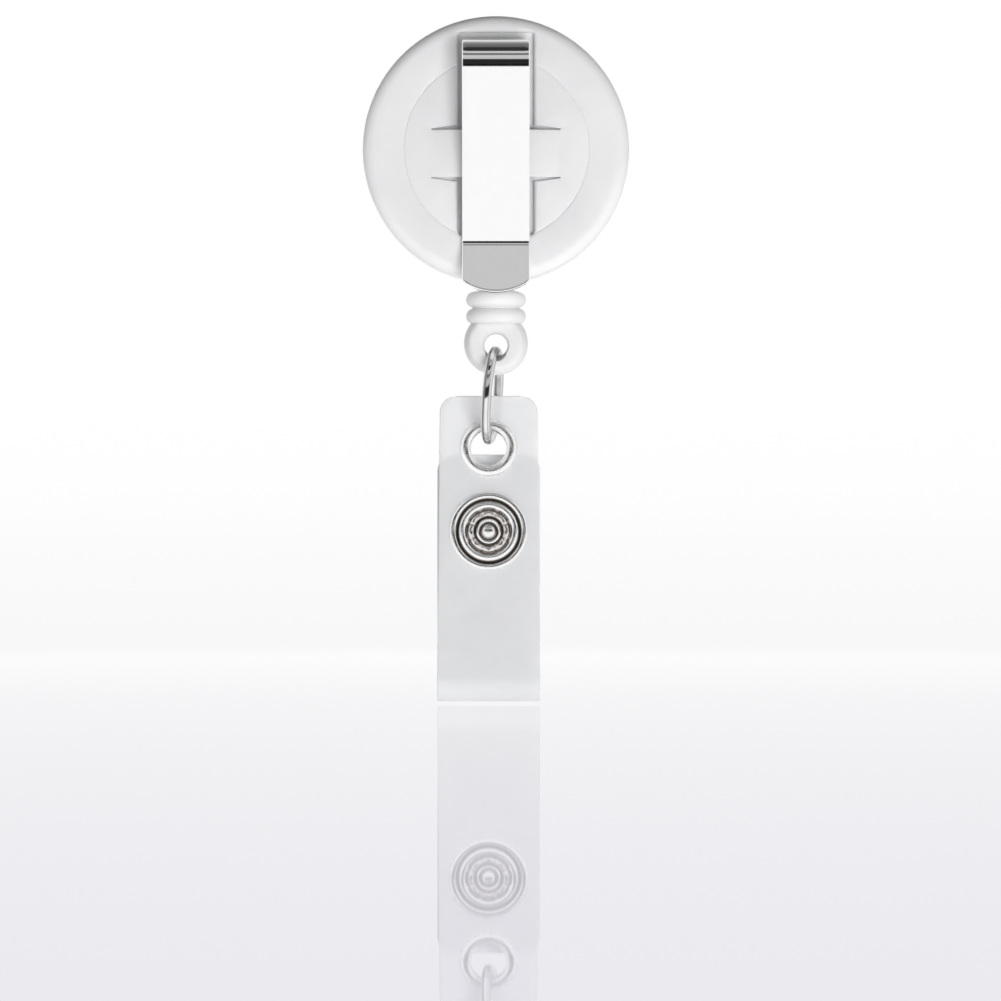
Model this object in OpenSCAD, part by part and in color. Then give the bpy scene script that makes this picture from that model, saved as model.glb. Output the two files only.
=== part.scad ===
// Retractable badge reel: a round spring reel with a folded steel belt clip on its back,
// a cord with a moulded end, a wire ring, and a vinyl strap that closes with a snap.
// Frame: +Z up, the back with its clip faces -Y, and the origin lies on the spool's axis
// in the plane of the back face.

/* [Case] */
// Diameter of the round case
case_d = 32; // [31:0.5:34]
// Thickness of the case, from its flat back to its front
case_t = 9; // [8.8:0.1:10]
// Radius of the rounded edges of the case
shoulder_r = 1.5; // [1:0.1:1.8]
// Diameter of the fine line moulded around the middle of the back
back_line_d = 22.2; // [20:0.2:24]

/* [Clip] */
// Width of the spring steel strip
clip_w = 8.1; // [7:0.1:9]
// Thickness of the strip
clip_t = 0.5; // [0.4:0.05:0.6]
// Outer radius of the bend at the top of the clip
bend_r = 2.9; // [2.7:0.1:3.1]
// Height of the top of the clip above the middle of the case
clip_top = 12.95; // [12.5:0.05:13.2]
// Depth of the crease, below the middle of the case, where the lip begins
crease_z = 10.85; // [10:0.05:12]
// Depth of the end of the lip, below the middle of the case
lip_z = 17.45; // [16.5:0.05:18]
// Angle at which the lip turns away from the case
lip_angle = 25; // [15:1:30]

/* [Cord] */
// Diameter of the cord
cord_d = 0.75; // [0.6:0.05:0.9]
// Diameter of the ribs on the moulded cord end
rib_d = 7.2; // [6.5:0.1:7.6]
// Diameter of the bulb at the bottom of the cord end
bulb_d = 7.7; // [7:0.1:8]

/* [Ring] */
// Outer diameter of the wire ring
ring_d = 12; // [11.5:0.1:12.5]
// Diameter of the ring's wire
wire_d = 1.2; // [1:0.05:1.25]
// Angle at which the ring leans to the left as it hangs
ring_lean = 4.7; // [0:0.1:6]

/* [Strap] */
// Width of the strap at its top
strap_top_w = 11.75; // [11:0.05:12]
// Width of the strap at its fold, and of its tail
strap_w = 12.4; // [12:0.1:13]
// Thickness of the vinyl
vinyl_t = 0.5; // [0.4:0.05:0.6]
// Outer width of the fold at the bottom of the strap
fold_w = 5.8; // [5.6:0.1:6.4]

/* [Hidden] */
$fn = 64;

// Clearances
cut = 1;          // how far a cutting tool runs past a face
join = 0.01;      // overlap of two stretches of one piece
running = 0.05;   // radial clearance of the spool on its arbor
fit = 0.03;       // clearance between pieces that are pressed together

// Case: its two shells meet on a stepped seam
case_r = case_d / 2;
wall = 1.2;
chamber_r = case_r - wall;
back_t = 2;
face_t = 1.3;
chamber_front = case_t - face_t;
seam_y = 4.4;
seam_gap = 0.15;
seam_step = 1;
skirt_t = 0.6;
label_recess_r = case_r - 3;
label_recess_t = 0.3;
back_line_w = 0.22;
back_line_t = 0.2;

// Channel in the back, where the clip's inner leg lies, and the bridge that holds the leg
channel_w = 10;
channel_t = 1;
channel_top = clip_top + 1.45;
channel_bottom = 10.7;
bridge_top = 2.3;
bridge_bottom = 3.4;
bridge_half_w = 7.7;
bridge_rise = 1;
bridge_under = 0.2;
bridge_r = (bridge_half_w * bridge_half_w + bridge_rise * bridge_rise) / (2 * bridge_rise);
slit_t = 0.8;
slit_w = 0.5;
slit_tip_w = 0.12;

// Clip: the bend's middle is also the line that the leaf flexes about
leg_y = 0.8;
bend_y = leg_y - bend_r;
bend_z = clip_top - bend_r;
leaf_gap = 0.3;
leaf_run = bend_z + crease_z;
leaf_angle = atan((bend_r - bend_y - clip_t - leaf_gap) / leaf_run);
leaf_l = leaf_run / cos(leaf_angle);
leg_gap = 0.65;
leg_bottom = 9.6;
lance_w = 3;
lance_top = 3.6;
lance_l = 3.4;
lance_rise = 0.55;
lip_end_r = 6.8;
crease_r = 0.9;

// Arbor and spool
arbor_r = 1.6;
arbor_boss_r = 2.6;
arbor_slot_w = 0.6;
arbor_slot_y = 3.1;
socket_wall = 1.2;
bearing_r = arbor_r + running;
spool_y = 2.2;
flange_t = 0.8;
groove_w = 2.4;
spool_r = chamber_r - 0.9;
drum_r = 9.5;
drum_wall = 1.2;
cavity_r = drum_r - drum_wall;
groove_y = spool_y + flange_t;
spool_front = groove_y + groove_w + flange_t;
cord_y = groove_y + groove_w / 2;
cover_step = 0.4;
cover_depth = 0.5;
cover_r = cavity_r + cover_step;
cover_y = spool_front - cover_depth;
cover_t = 0.6;
boss_gap = 0.15;

// Cord: wound on the drum, led off at a tangent, and out at the bottom of the case
winding_r = spool_r - 1.5;
winding_rows = 3;
outlet_r = 0.7;
outlet_mouth_r = 1.2;
run_gap = 0.07;
run_r = winding_r + cord_d / 2 + run_gap;
turn_gap = 0.3;
turn_z = chamber_r - turn_gap;
knuckle_share = 0.62;
run_angle = asin(run_r / turn_z);
run_l = sqrt(turn_z * turn_z - run_r * run_r);
run_end_z = case_r - 0.7;
lead_end_z = case_r + 1;

// Mainspring: a flat spiral from the arbor's slot to the drum
spring_t = 0.14;
spring_turns = 12;
spring_inner_r = 2.7;
spring_margin = 0.35;
spring_outer_r = cavity_r - spring_margin;
spring_steps = 20;
spring_y = 3.25;
spring_w = 2.2;
spring_tab = 0.3;

// Cord end: a nose, two ribs and a bulb with a cross hole
nose_z = case_r + 0.25;
nose_r = 2;
rib_r = 0.95;
rib_zs = [case_r + 2, case_r + 4];
core_r = 2.85;
bulb_z = case_r + 7.25;
bulb_flat = 2.3;
flat_top = bulb_z - 2.15;
cross_r = 1.4;
cross_z = bulb_z + 0.25;
cord_bore_r = cord_d / 2 + fit;
knot_z = case_r + 3;
knot_r = 0.95;

// Ring: its top lies in the cross hole, and the eyelet hangs on its bottom
ring_r = (ring_d - wire_d) / 2;
ring_top_z = bulb_z + 0.9;
ring_z = ring_top_z + ring_r;
ring_joint = 1.5;
ring_turn = -7;
flare_start_r = 0.75;
flare_slope = 0.4;
flare_start = 0.8;

// Strap: a strip from the eyelet down, round the fold, and up behind to the snap
strap_y = cord_y - vinyl_t / 2;
strap_x = -2 * ring_r * sin(ring_lean);
strap_top = ring_z + 0.05;
corner_r = 2;
fold_r = fold_w / 2;
fold_y = strap_y + fold_r;
tail_y = strap_y + fold_w - vinyl_t / 2;
tail_open = 60;
knuckle_r = fold_r - vinyl_t / 2;
knuckle_gap = 0.02;
knuckle_slack = 5;
tail_close_y = 7;

// Eyelet
eyelet_z = ring_top_z + 2 * ring_r + 0.95;
eyelet_r = 2.1;
eyelet_wall = 0.3;
eyelet_flange_r = 3.45;
eyelet_roll_r = 0.45;
washer_t = 0.25;

// Snap: cap and socket on the front layer, stud and rivet on the tail
snap_z = eyelet_z + 10;
fold_z = snap_z + 17.7;
tail_straight_z = fold_z - 4.1;
tail_close_z = fold_z - 12.1;
tail_top = snap_z - 9.25;
cap_r = 4.75;
cap_floor_r = 3.95;
cap_floor_t = 0.3;
post_r = 1.75;
post_bore_r = 1.35;
cap_bead_mid = 3.15;
cap_bead_r = 0.4;
crimp_mid = 1.95;
crimp_r = 0.6;
roll_r = 0.35;
socket_r = 4.3;
socket_t = 1.75;
socket_bore_r = 2.05;
socket_floor_t = 0.3;
socket_lip = 0.8;
stud_r = 1.8;
stud_neck_r = 1.6;
stud_bore_r = 1.15;
stud_base_r = 3.75;
stud_base_t = 0.4;
stud_t = 1.45;
stud_ball_r = 0.35;
rivet_r = 3.5;
rivet_t = 0.6;

// Stands a shape that was drawn around Z on the Y axis, with its top towards the front
module about_y(y = 0, z = 0)
    translate([0, y, z])
        rotate([-90, 0, 0])
            children();

// Moves a piece of the strap sideways, to hang under the bottom of the leaning ring
module on_strap()
    translate([strap_x, 0, 0])
        children();

// Extrudes an outline of the YZ plane to a width w, centred across X
module across_x(w)
    rotate([90, 0, 90])
        linear_extrude(w, center = true)
            children();

// Extrudes an outline of the XZ plane from y0 to y1
module along_y(y0, y1)
    translate([0, y1, 0])
        rotate([90, 0, 0])
            linear_extrude(y1 - y0)
                children();

// A rectangle between two corners
module box_2d(a, b)
    translate(a)
        square(b - a);

// The outline of half a shell: a disc of thickness t with its outer edge rounded at y = 0
module rounded_disc_2d(t)
    union() {
        box_2d([0, 0], [case_r - shoulder_r, t]);
        box_2d([0, shoulder_r], [case_r, t]);
        translate([case_r - shoulder_r, shoulder_r])
            intersection() {
                circle(r = shoulder_r);
                box_2d([0, -shoulder_r], [shoulder_r, 0]);
            }
    }

// The hole at the bottom of the case, with a flared mouth, where the cord comes out
module outlet()
    translate([0, cord_y, -case_r - cut]) {
        cylinder(r = outlet_r, h = wall + 2 * cut);
        cylinder(r1 = outlet_mouth_r + cut, r2 = 0, h = outlet_mouth_r + cut);
    }

module arbor()
    difference() {
        about_y(back_t - fit)
            cylinder(r = arbor_r, h = chamber_front - fit - back_t);
        translate([-arbor_r - cut, arbor_slot_y, -arbor_slot_w / 2])
            cube([2 * (arbor_r + cut), case_t, arbor_slot_w]);
    }

// The moulded band, bowed outwards, that the clip's inner leg passes under
module bridge()
    translate([0, 0, -bridge_bottom])
        linear_extrude(bridge_top + bridge_bottom)
            intersection() {
                translate([0, bridge_r - bridge_rise])
                    circle(r = bridge_r, $fn = 128);
                box_2d([-bridge_half_w, -bridge_rise], [bridge_half_w, bridge_under]);
            }

// One of the four tapering slits beside the bridge
module slit_2d()
    polygon([
        [0, 0], [channel_w / 2, 0], [bridge_half_w, 0],
        [bridge_half_w, slit_tip_w], [channel_w / 2, slit_w], [0, slit_w]
    ]);

module slits()
    along_y(-cut, slit_t)
        for (side = [-1, 1])
            scale([side, 1, 1]) {
                translate([0, bridge_top])
                    slit_2d();
                translate([0, -bridge_bottom])
                    mirror([0, 1])
                        slit_2d();
            }

module back_shell()
    color("whitesmoke") {
        difference() {
            about_y()
                rotate_extrude($fn = 128)
                    difference() {
                        rounded_disc_2d(seam_y);
                        box_2d([0, back_t], [chamber_r, case_t]);
                        box_2d([0, seam_y - seam_step], [case_r - skirt_t, case_t]);
                    }
            translate([-channel_w / 2, -cut, -channel_bottom])
                cube([channel_w, channel_t + cut, channel_top + channel_bottom]);
            about_y()
                rotate_extrude()
                    translate([back_line_d / 2, 0])
                        square([back_line_w, 2 * back_line_t], center = true);
            slits();
            outlet();
        }
        bridge();
        arbor();
        about_y(back_t - fit)
            cylinder(r = arbor_boss_r, h = spool_y - back_t - fit);
    }

module front_shell()
    color("white")
        difference() {
            union() {
                about_y(case_t)
                    rotate_extrude($fn = 128)
                        mirror([0, 1])
                            difference() {
                                rounded_disc_2d(case_t - seam_y - seam_gap);
                                box_2d([0, face_t], [chamber_r, case_t]);
                                box_2d([0, -cut], [label_recess_r, label_recess_t]);
                            }
                about_y(seam_y - seam_step + fit)
                    rotate_extrude($fn = 128)
                        box_2d([chamber_r, 0], [case_r - skirt_t - fit, seam_step + 2 * seam_gap]);
                about_y(cover_y + cover_t + boss_gap)
                    cylinder(r = arbor_r + socket_wall, h = chamber_front - cover_y - cover_t);
            }
            about_y(cover_y)
                cylinder(r = arbor_r + fit, h = chamber_front - cover_y);
            outlet();
        }

// Radius of the spring after a share s of its turns
function spring_r(s) = spring_inner_r + (spring_outer_r - spring_inner_r) * s;

// Points along one face of the spring, a distance d outside its inner face
function spring_face(d) = [
    for (i = [0 : spring_turns * spring_steps])
        let (s = i / (spring_turns * spring_steps), a = 360 * spring_turns * s)
            (spring_r(s) + d) * [cos(a), sin(a)]
];

module mainspring()
    color("lightsteelblue")
        about_y(spring_y)
            linear_extrude(spring_w) {
                outer = spring_face(spring_t);
                polygon(concat(
                    [[spring_tab, -spring_t], [spring_tab, 0]],
                    spring_face(0),
                    [for (i = [len(outer) - 1 : -1 : 0]) outer[i]],
                    [[spring_inner_r + spring_t, -spring_t]]
                ));
            }

module spool()
    color("gainsboro")
        about_y()
            rotate_extrude($fn = 128)
                union() {
                    box_2d([bearing_r, spool_y], [spool_r, groove_y]);
                    box_2d([cavity_r, spool_y], [drum_r, cover_y]);
                    difference() {
                        box_2d([cavity_r, groove_y + groove_w], [spool_r, spool_front]);
                        box_2d([0, cover_y], [cover_r + fit, spool_front + cut]);
                    }
                }

module spring_cover()
    color("silver")
        about_y(cover_y)
            difference() {
                cylinder(r = cover_r, h = cover_t);
                translate([0, 0, -cut])
                    cylinder(r = bearing_r, h = cover_t + 2 * cut);
            }

module cord_winding()
    color("ghostwhite")
        about_y()
            rotate_extrude($fn = 128) {
                row = (groove_w - 2 * fit) / winding_rows;
                box_2d([drum_r + fit, groove_y + fit], [winding_r - row / 2, groove_y + groove_w - fit]);
                for (i = [0 : winding_rows - 1])
                    translate([winding_r - row / 2, groove_y + fit + (i + 0.5) * row])
                        circle(d = row);
            }

// The cord leaves the winding at a tangent and turns down into the outlet
module cord_run()
    color("ghostwhite")
        translate([0, cord_y, -turn_z]) {
            sphere(r = knuckle_share * cord_d, $fn = 32);
            rotate([0, run_angle, 0])
                cylinder(d = cord_d, h = run_l, $fn = 32);
            translate([0, 0, turn_z - run_end_z])
                cylinder(d = cord_d, h = run_end_z - turn_z, $fn = 32);
        }

module cord_lead()
    color("ghostwhite")
        translate([0, cord_y, -lead_end_z])
            cylinder(d = cord_d, h = lead_end_z - run_end_z - fit, $fn = 32);

module cord_knot()
    color("ghostwhite")
        translate([0, cord_y, -knot_z]) {
            sphere(r = knot_r, $fn = 32);
            cylinder(d = cord_d, h = knot_z - lead_end_z - fit, $fn = 32);
        }

module cord_end()
    color("white")
        translate([0, cord_y, 0])
            difference() {
                union() {
                    translate([0, 0, -bulb_z])
                        cylinder(r = core_r, h = bulb_z - rib_zs[0] + rib_r);
                    translate([0, 0, -rib_zs[0]])
                        cylinder(r = nose_r, h = rib_zs[0] - nose_z);
                    for (z = rib_zs)
                        translate([0, 0, -z])
                            rotate_extrude()
                                union() {
                                    translate([rib_d / 2 - rib_r, 0])
                                        circle(r = rib_r);
                                    box_2d([0, -rib_r], [rib_d / 2 - rib_r, rib_r]);
                                }
                    intersection() {
                        translate([0, 0, -bulb_z])
                            sphere(d = bulb_d);
                        translate([-bulb_d, -bulb_flat, -bulb_z - bulb_d])
                            cube([2 * bulb_d, 2 * bulb_flat, 2 * bulb_d]);
                    }
                }
                translate([-bulb_d, bulb_flat, -2 * bulb_z + flat_top])
                    cube([2 * bulb_d, bulb_d, 2 * (bulb_z - flat_top)]);
                translate([-bulb_d, -bulb_flat - bulb_d, -2 * bulb_z + flat_top])
                    cube([2 * bulb_d, bulb_d, 2 * (bulb_z - flat_top)]);
                about_y(-bulb_d, -cross_z)
                    cylinder(r = cross_r, h = 2 * bulb_d);
                for (side = [0, 180])
                    rotate([0, 0, side])
                        about_y(flare_start, -ring_top_z)
                            cylinder(
                                r1 = flare_start_r,
                                r2 = flare_start_r + flare_slope * bulb_d,
                                h = bulb_d
                            );
                translate([0, 0, -knot_z])
                    cylinder(r = cord_bore_r, h = bulb_z);
                translate([0, 0, -knot_z])
                    sphere(r = knot_r + fit);
            }

module jump_ring()
    color("silver")
        translate([0, cord_y, -ring_top_z])
            rotate([0, ring_lean, 0])
                translate([0, 0, -ring_r])
                    rotate([0, 90, ring_turn])
                        rotate([0, 0, 90 + ring_joint / 2])
                            rotate_extrude(angle = 360 - ring_joint, $fn = 96)
                                translate([ring_r, 0])
                                    circle(d = wire_d);

// The inner leg lies in the channel, and its lanced tongue catches under the bridge
module clip_anchor_leg()
    color("silver") {
        translate([-clip_w / 2, leg_y - clip_t, -leg_bottom])
            cube([clip_w, clip_t, leg_bottom + bend_z - leg_gap]);
        across_x(lance_w)
            polygon([
                [leg_y - clip_t + join, -lance_top - lance_l],
                [leg_y - clip_t - lance_rise, -lance_top],
                [leg_y - clip_t + join, -lance_top]
            ]);
    }

// The leaf, drawn in the YZ plane around the middle of its bend
module clip_leaf_2d() {
    difference() {
        circle(r = bend_r);
        circle(r = bend_r - clip_t);
        rotate(leaf_angle)
            box_2d([-2 * bend_r, -2 * bend_r], [0, 0]);
        box_2d([0, -2 * bend_r], [2 * bend_r, 0]);
    }
    rotate(leaf_angle) {
        box_2d([-bend_r, -leaf_l], [clip_t - bend_r, join]);
        translate([-bend_r, -leaf_l]) {
            translate([-crease_r, 0])
                intersection() {
                    difference() {
                        circle(r = crease_r + clip_t);
                        circle(r = crease_r);
                    }
                    polygon(4 * crease_r * [
                        [0, 0], [1, 0], [1, -1], [cos(lip_angle + leaf_angle), -sin(lip_angle + leaf_angle)]
                    ]);
                }
            translate([-crease_r, 0])
                rotate(-lip_angle - leaf_angle)
                    box_2d([crease_r, -bend_r * 4], [crease_r + clip_t, join]);
        }
    }
}

module clip_leaf()
    color("lightgray")
        intersection() {
            translate([0, bend_y, bend_z])
                across_x(clip_w)
                    clip_leaf_2d();
            along_y(bend_y - 4 * bend_r, case_t)
                union() {
                    box_2d([-clip_w, lip_end_r - lip_z], [clip_w, case_r]);
                    translate([0, lip_end_r - lip_z])
                        circle(r = lip_end_r);
                }
        }

// The outline of a strap end: its top corners are round, and it runs down to z
module strap_end_2d(top, z, top_w, w)
    difference() {
        polygon([[-top_w / 2, -top], [top_w / 2, -top], [w / 2, -z], [-w / 2, -z]]);
        for (side = [-1, 1])
            translate([side * (top_w / 2 - corner_r), -top - corner_r])
                difference() {
                    box_2d([min(0, side * corner_r) * 2, 0], [max(0, side * corner_r) * 2, corner_r * 2]);
                    circle(r = corner_r);
                }
    }

// A stretch of the fold at the strap's bottom, between two radii and two angles
module fold_2d(r0, r1, from, to)
    difference() {
        circle(r = r1);
        circle(r = r0);
        polygon(2 * fold_w * concat(
            [[0, 0]],
            [for (a = [to : (from + 360 - to) / 4 : from + 360]) [cos(a), sin(a)]]
        ));
    }

// Half of the vinyl's thickness goes round the outside of the fold, and the tail has the inside
module strap_front()
    color("aliceblue")
        on_strap() {
            difference() {
                along_y(strap_y, strap_y + vinyl_t)
                    strap_end_2d(strap_top, fold_z, strap_top_w, strap_w);
                about_y(strap_y - cut, -eyelet_z)
                    cylinder(r = eyelet_r + eyelet_wall + fit, h = 2 * cut + vinyl_t);
                about_y(strap_y - cut, -snap_z)
                    cylinder(r = post_r + fit, h = 2 * cut + vinyl_t);
            }
            across_x(strap_w)
                translate([fold_y, -fold_z])
                    fold_2d(knuckle_r + knuckle_gap, fold_r, 180, 360 - tail_open - knuckle_slack);
        }

// The tail, seen from the side: the fold's inner half, straight up, in towards the snap, and up
module tail_side_2d()
    union() {
        polygon([
            [tail_y - vinyl_t / 2, -fold_z],
            [tail_y + vinyl_t / 2, -fold_z],
            [tail_y + vinyl_t / 2, -tail_straight_z],
            [tail_close_y + vinyl_t / 2, -tail_close_z],
            [tail_close_y + vinyl_t / 2, -tail_top],
            [tail_close_y - vinyl_t / 2, -tail_top],
            [tail_close_y - vinyl_t / 2, -tail_close_z],
            [tail_y - vinyl_t / 2, -tail_straight_z]
        ]);
        translate([fold_y, -fold_z])
            fold_2d(fold_r - vinyl_t, knuckle_r - knuckle_gap, 180 + tail_open + knuckle_slack, 360);
    }

module strap_tail()
    color("aliceblue")
        on_strap()
            difference() {
                intersection() {
                    across_x(strap_w)
                        tail_side_2d();
                    along_y(strap_y, 2 * tail_y)
                        strap_end_2d(tail_top, fold_z + fold_r, strap_w, strap_w);
                }
                about_y(tail_close_y - cut, -snap_z)
                    cylinder(r = stud_neck_r + fit, h = 2 * cut);
            }

// A half-round ring of radius r around a middle line of radius mid, flat on y = 0
module half_round_2d(mid, r)
    translate([mid, 0])
        intersection() {
            circle(r = r, $fn = 32);
            box_2d([-r, 0], [r, r]);
        }

module eyelet()
    color("silver")
        on_strap()
            about_y(strap_y, -eyelet_z)
                rotate_extrude() {
                    back = vinyl_t + washer_t;
                    mirror([0, 1])
                        half_round_2d((eyelet_r + eyelet_flange_r) / 2, (eyelet_flange_r - eyelet_r) / 2);
                    box_2d([eyelet_r, -fit], [eyelet_r + eyelet_wall, back + fit]);
                    translate([0, back + fit])
                        half_round_2d(eyelet_r + eyelet_roll_r, eyelet_roll_r);
                }

module eyelet_washer()
    color("silver")
        on_strap()
            about_y(strap_y + vinyl_t, -eyelet_z)
                difference() {
                    cylinder(r = eyelet_flange_r, h = washer_t);
                    translate([0, 0, -cut])
                        cylinder(r = eyelet_r + eyelet_wall + fit, h = washer_t + 2 * cut);
                }

module snap_cap()
    color("silver")
        on_strap()
            about_y(strap_y, -snap_z)
                rotate_extrude() {
                    rim = (cap_r - cap_floor_r) / 2;
                    mirror([0, 1]) {
                        half_round_2d(cap_r - rim, rim);
                        box_2d([cap_floor_r - rim, 0], [cap_r - rim, rim]);
                        box_2d([post_bore_r, 0], [cap_floor_r, cap_floor_t]);
                        half_round_2d(cap_bead_mid, cap_bead_r);
                        half_round_2d(crimp_mid, crimp_r);
                        box_2d([0, 0], [post_bore_r, cap_floor_t / 2]);
                    }
                    box_2d([post_bore_r, -fit], [post_r, vinyl_t + socket_floor_t + 2 * fit]);
                    translate([0, vinyl_t + socket_floor_t + fit])
                        half_round_2d(post_bore_r + roll_r, roll_r);
                }

module snap_socket()
    color("silver")
        on_strap()
            about_y(strap_y + vinyl_t, -snap_z)
                rotate_extrude()
                    difference() {
                        union() {
                            box_2d([0, 0], [socket_r, socket_floor_t]);
                            box_2d([0, 0], [socket_r - socket_lip, socket_t]);
                            translate([0, socket_floor_t])
                                half_round_2d(socket_r - socket_lip, socket_lip);
                        }
                        box_2d([0, socket_floor_t], [socket_bore_r, socket_t + cut]);
                        box_2d([0, -cut], [post_r + fit, socket_t]);
                    }

module snap_stud()
    color("silver")
        on_strap()
            about_y(tail_close_y - vinyl_t / 2, -snap_z)
                rotate_extrude()
                    mirror([0, 1])
                        difference() {
                            union() {
                                box_2d([0, 0], [stud_base_r, stud_base_t]);
                                box_2d([0, 0], [stud_neck_r, stud_t - stud_ball_r]);
                                translate([stud_r - stud_ball_r, stud_t - stud_ball_r])
                                    circle(r = stud_ball_r, $fn = 32);
                                box_2d([0, stud_t - 2 * stud_ball_r], [stud_r - stud_ball_r, stud_t]);
                            }
                            box_2d([0, -cut], [stud_bore_r, stud_t + cut]);
                        }

module snap_stud_rivet()
    color("silver")
        on_strap()
            about_y(tail_close_y + vinyl_t / 2, -snap_z)
                rotate_extrude()
                    difference() {
                        union() {
                            half_round_2d(rivet_r - rivet_t, rivet_t);
                            box_2d([0, 0], [rivet_r - rivet_t, rivet_t]);
                            box_2d([0, -vinyl_t - stud_base_t], [stud_bore_r - fit, rivet_t]);
                        }
                        box_2d([0, rivet_t / 2], [stud_neck_r, rivet_t + cut]);
                    }

back_shell();
front_shell();
mainspring();
cord_run();
clip_anchor_leg();
clip_leaf();
spool();
spring_cover();
cord_winding();
cord_end();
cord_lead();
cord_knot();
jump_ring();
strap_front();
eyelet();
eyelet_washer();
snap_cap();
snap_socket();
strap_tail();
snap_stud();
snap_stud_rivet();
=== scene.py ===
"""Looks of the retractable badge reel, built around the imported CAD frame.

Every shape is written in millimetres, in the frame's axes (back of the reel faces -Y, +Z up),
and is scaled to metres once, when it is settled on its body.
"""

import math

import bmesh
import bpy
import numpy as np
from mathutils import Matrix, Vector

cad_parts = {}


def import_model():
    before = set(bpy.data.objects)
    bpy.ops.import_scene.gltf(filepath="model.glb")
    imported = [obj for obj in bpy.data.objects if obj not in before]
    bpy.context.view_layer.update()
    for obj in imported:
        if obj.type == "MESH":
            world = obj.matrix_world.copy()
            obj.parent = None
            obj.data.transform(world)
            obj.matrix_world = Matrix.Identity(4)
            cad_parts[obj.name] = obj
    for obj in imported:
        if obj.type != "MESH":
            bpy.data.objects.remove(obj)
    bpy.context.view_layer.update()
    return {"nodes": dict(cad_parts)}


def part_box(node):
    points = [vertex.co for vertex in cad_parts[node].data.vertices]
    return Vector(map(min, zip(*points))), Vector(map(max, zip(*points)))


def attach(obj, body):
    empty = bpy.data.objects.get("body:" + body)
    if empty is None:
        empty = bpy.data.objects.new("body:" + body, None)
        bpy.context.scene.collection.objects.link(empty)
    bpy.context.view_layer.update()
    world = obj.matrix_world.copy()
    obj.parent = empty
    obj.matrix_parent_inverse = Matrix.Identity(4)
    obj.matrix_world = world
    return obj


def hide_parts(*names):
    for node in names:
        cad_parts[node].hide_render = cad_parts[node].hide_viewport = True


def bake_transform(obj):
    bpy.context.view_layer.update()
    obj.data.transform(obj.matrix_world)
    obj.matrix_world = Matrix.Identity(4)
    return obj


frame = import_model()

MM = 0.001


def box_mm(node):
    """Lowest and highest corner of a CAD node, in millimetres."""
    low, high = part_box(node)
    return low / MM, high / MM


# ---------------------------------------------------------------- camera
VIEW_W = 120.06
CAMERA_D = 800.0
CAMERA_X = 0.55
CAMERA_Z = -42.2
SENSOR_W = 36.0

camera_data = bpy.data.cameras.new("camera")
camera_data.sensor_width = SENSOR_W
camera_data.lens = SENSOR_W * CAMERA_D / VIEW_W
camera_data.clip_start = 0.01
camera_data.clip_end = 20.0
camera = bpy.data.objects.new("camera", camera_data)
camera.location = Vector((CAMERA_X, -CAMERA_D, CAMERA_Z)) * MM
camera.rotation_euler = (math.pi / 2, 0, 0)
bpy.context.scene.collection.objects.link(camera)
bpy.context.scene.camera = camera
bpy.context.scene.view_settings.view_transform = "Standard"
bpy.context.scene.view_settings.look = "None"


# ---------------------------------------------------------------- shape helpers
def arc(centre, radius, start, end, steps):
    """Points on an arc, angles in degrees."""
    angles = np.radians(np.linspace(start, end, steps + 1))
    return [(centre[0] + radius * math.cos(a), centre[1] + radius * math.sin(a)) for a in angles]


def fillet(points, radius, steps=4):
    """A closed outline with its corners rounded. A point may carry its own radius as a third number."""
    rounded = []
    count = len(points)
    for i, point in enumerate(points):
        here = np.array(point[:2], float)
        before = np.array(points[i - 1][:2], float) - here
        after = np.array(points[(i + 1) % count][:2], float) - here
        r = point[2] if len(point) > 2 else radius
        lengths = np.linalg.norm(before), np.linalg.norm(after)
        before /= lengths[0]
        after /= lengths[1]
        half = math.acos(max(-1.0, min(1.0, float(before @ after)))) / 2
        if r <= 0 or half > math.radians(88) or half < math.radians(1):
            rounded.append(tuple(here))
            continue
        back = min(r / math.tan(half), 0.48 * min(lengths))
        r = back * math.tan(half)
        middle = here + (before + after) / np.linalg.norm(before + after) * r / math.sin(half)
        first = here + before * back - middle
        last = here + after * back - middle
        swing = math.pi - 2 * half
        for k in range(steps + 1):
            t = k / steps
            p = (math.sin((1 - t) * swing) * first + math.sin(t * swing) * last) / math.sin(swing)
            rounded.append(tuple(middle + p))
    return rounded


def grow(outline, d):
    """A closed counter-clockwise outline moved outwards by d."""
    moved = []
    count = len(outline)
    for i in range(count):
        p0, p1, p2 = (np.array(outline[(i + k) % count], float) for k in (-1, 0, 1))
        e1, e2 = p1 - p0, p2 - p1
        n1 = np.array((e1[1], -e1[0])) / np.linalg.norm(e1)
        n2 = np.array((e2[1], -e2[0])) / np.linalg.norm(e2)
        moved.append(tuple(p1 + d * (n1 + n2) / (1 + float(n1 @ n2))))
    return moved


def counter_clockwise(outline):
    """An outline in the order that grow needs."""
    area = sum(p[0] * q[1] - q[0] * p[1] for p, q in zip(outline, outline[1:] + outline[:1]))
    return outline if area > 0 else outline[::-1]


def make(name, verts, faces):
    """A mesh object from points in millimetres, with clean outward normals."""
    mesh = bpy.data.meshes.new(name)
    mesh.from_pydata([tuple(v) for v in verts], [], faces)
    bm = bmesh.new()
    bm.from_mesh(mesh)
    bmesh.ops.remove_doubles(bm, verts=bm.verts, dist=1e-4)
    bmesh.ops.dissolve_degenerate(bm, edges=bm.edges, dist=1e-5)
    bmesh.ops.recalc_face_normals(bm, faces=bm.faces)
    bm.to_mesh(mesh)
    bm.free()
    obj = bpy.data.objects.new(name, mesh)
    bpy.context.scene.collection.objects.link(obj)
    return obj


def tube_faces(rows, columns, closed_rows=False):
    """Quads between rings of points."""
    faces = []
    for i in range(rows if closed_rows else rows - 1):
        a, b = i * columns, ((i + 1) % rows) * columns
        for j in range(columns):
            k = (j + 1) % columns
            faces.append((a + j, a + k, b + k, b + j))
    return faces


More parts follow.
